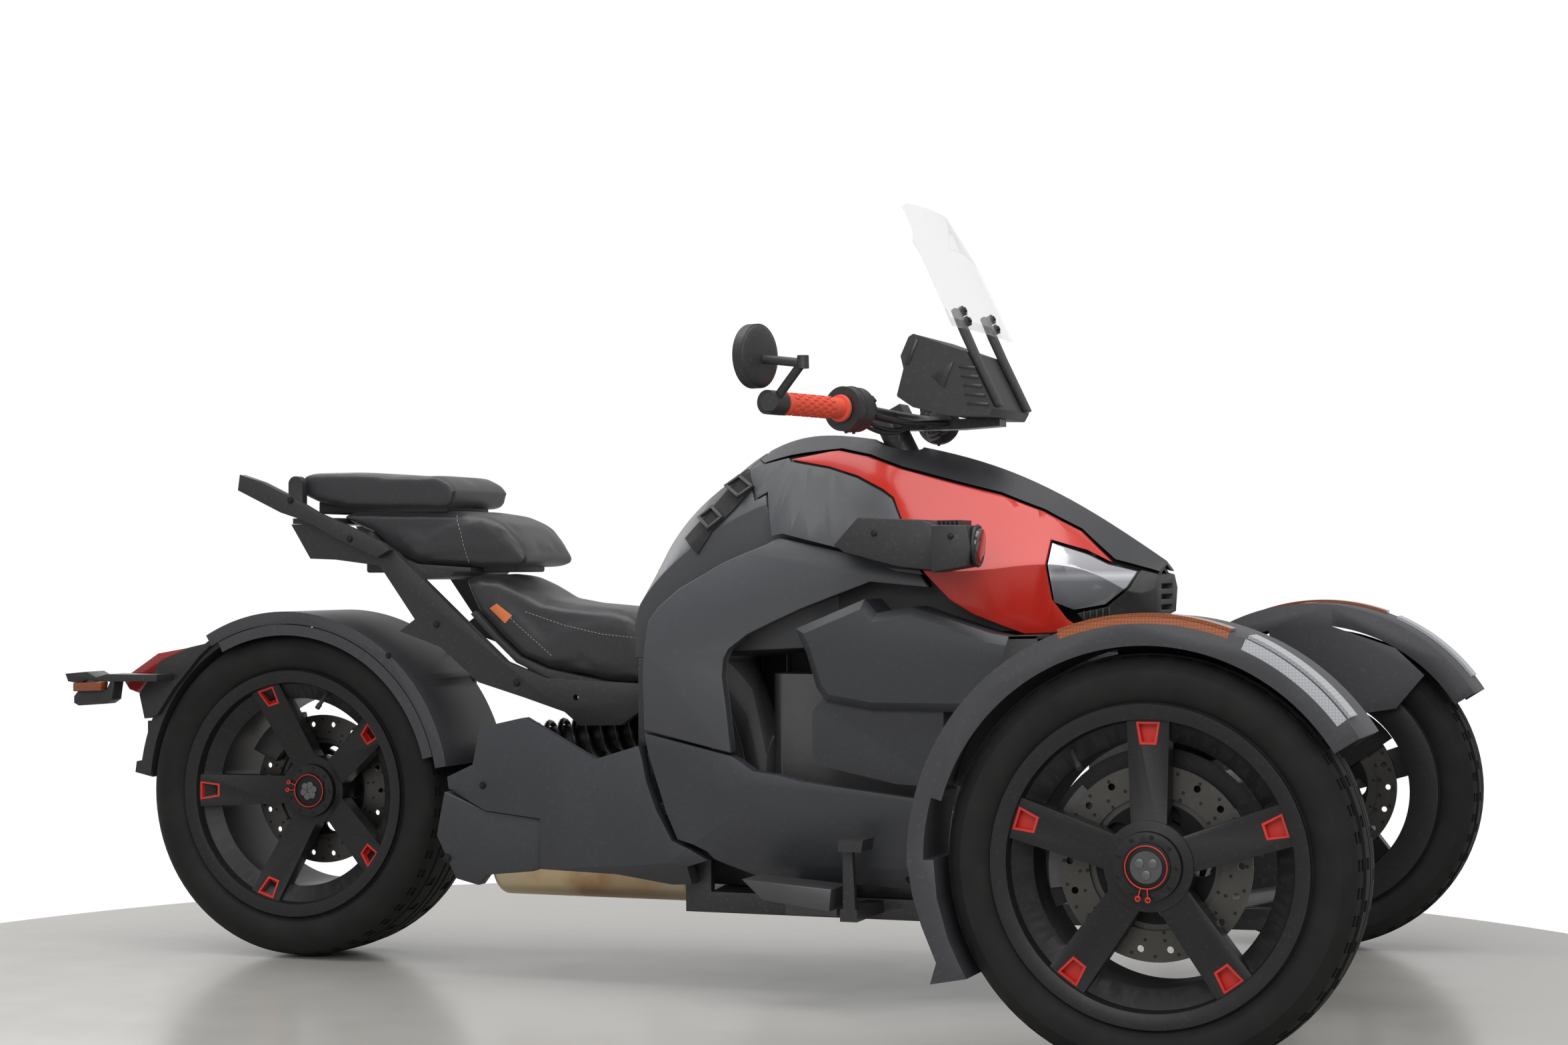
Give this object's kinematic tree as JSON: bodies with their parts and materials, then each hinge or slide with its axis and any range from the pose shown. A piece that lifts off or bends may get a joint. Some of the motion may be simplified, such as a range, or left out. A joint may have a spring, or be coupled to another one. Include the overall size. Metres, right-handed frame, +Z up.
{
  "type": "three-wheeled motorcycle",
  "caption": "Low three-wheeled motorcycle with two steered front wheels under fenders, one driven rear wheel, angular side panels, a step seat, a small windscreen and a folding backrest.",
  "frame": {"origin": "on the floor, under the middle of the bounding box", "axes": "+X forward, +Y to the vehicle's left, +Z up"},
  "size_m": [2.4389, 1.516, 1.2949],
  "materials": {
    "frame": "satin",
    "engine": "cast",
    "panel": "fine moulded grain",
    "hood": "satin",
    "red_gloss": "gloss",
    "lens": "clear",
    "black_plastic": "matte",
    "steel_hot": "heat tinted",
    "leather": "grained vinyl",
    "rubber": "matte",
    "grip_red": "matte",
    "tyre": "matte",
    "rim": "satin",
    "disc": "ground",
    "amber": "reflector",
    "tail_red": "gloss",
    "clear": "clear",
    "alloy": "satin"
  },
  "bodies": {
    "chassis": {"frame": "frame", "engine": "engine", "hood": "hood", "tank": "panel", "inner_cowl": "black_plastic", "fairings": "red_gloss", "side_panels": "panel", "headlamps": "lens", "nose": "black_plastic", "c_panels": "panel", "sill_panels": "panel", "engine_covers": "panel", "rear_covers": "panel", "muffler": "steel_hot", "muffler_shield": "panel", "subframe": "frame", "rack": "black_plastic", "rider_seat": "leather", "pillion_seat": "leather", "swingarm": "frame", "rear_damper": "alloy", "rear_fender": "panel", "tail_carrier": "black_plastic", "tail_lamp": "tail_red", "rear_signals": "black_plastic", "control_arms": "frame", "dampers": "alloy", "footpegs": "alloy", "brake_pedal": "frame", "aux_lamps": "black_plastic", "aux_brackets": "black_plastic"},
    "handlebar_set": {"handlebar": "frame", "grips": "grip_red", "controls": "black_plastic", "mirrors": "black_plastic", "console": "black_plastic", "screen_brackets": "black_plastic", "screen": "clear"},
    "track_rod": {"tie_rods": "frame"},
    "backrest_pad": {"backrest": "leather"},
    "wheel_rear": {"rim_rear": "rim", "tyre_rear": "tyre", "disc_rear": "disc"},
    "knuckle_right": {"knuckle_right": "alloy", "fender_right": "panel", "fender_lens_right": "amber"},
    "wheel_front_right": {"rim_front_right": "rim", "tyre_front_right": "tyre", "disc_front_right": "disc"},
    "knuckle_left": {"knuckle_left": "alloy", "fender_left": "panel", "fender_lens_left": "amber"},
    "wheel_front_left": {"rim_front_left": "rim", "tyre_front_left": "tyre", "disc_front_left": "disc"}
  },
  "joints": [
    {"name": "steering", "type": "hinge", "parent": "chassis", "child": "handlebar_set", "pos_m": [0.3545, 0, 0.876], "axis": [-0.454, 0, 0.891], "range_deg": [-28, 28]},
    {"name": "backrest_fold", "type": "hinge", "parent": "chassis", "child": "backrest_pad", "pos_m": [-0.7495, 0, 0.849], "axis": [0, -1, 0], "range_deg": [0, 95]},
    {"name": "rear_wheel_spin", "type": "hinge", "parent": "chassis", "child": "wheel_rear", "pos_m": [-0.7795, 0, 0.2955], "axis": [0, 1, 0], "continuous": true},
    {"name": "track_rod_slide", "type": "slide", "parent": "chassis", "child": "track_rod", "axis": [0, 1, 0], "range_m": [-0.05, 0.05]},
    {"name": "kingpin_right", "type": "hinge", "parent": "chassis", "child": "knuckle_right", "pos_m": [0.9295, -0.596, 0.29], "axis": [0, 0, 1], "range_deg": [-26, 26]},
    {"name": "front_wheel_spin_right", "type": "hinge", "parent": "knuckle_right", "child": "wheel_front_right", "pos_m": [0.9295, -0.68, 0.29], "axis": [0, 1, 0], "continuous": true},
    {"name": "kingpin_left", "type": "hinge", "parent": "chassis", "child": "knuckle_left", "pos_m": [0.9295, 0.596, 0.29], "axis": [0, 0, 1], "range_deg": [-26, 26]},
    {"name": "front_wheel_spin_left", "type": "hinge", "parent": "knuckle_left", "child": "wheel_front_left", "pos_m": [0.9295, 0.68, 0.29], "axis": [0, 1, 0], "continuous": true}
  ],
  "couplings": [
    {"joint": "kingpin_right", "follows": "steering", "ratio": 0.92},
    {"joint": "kingpin_left", "follows": "steering", "ratio": 0.92},
    {"joint": "track_rod_slide", "follows": "steering", "m_per_rad": -0.09338}
  ]
}
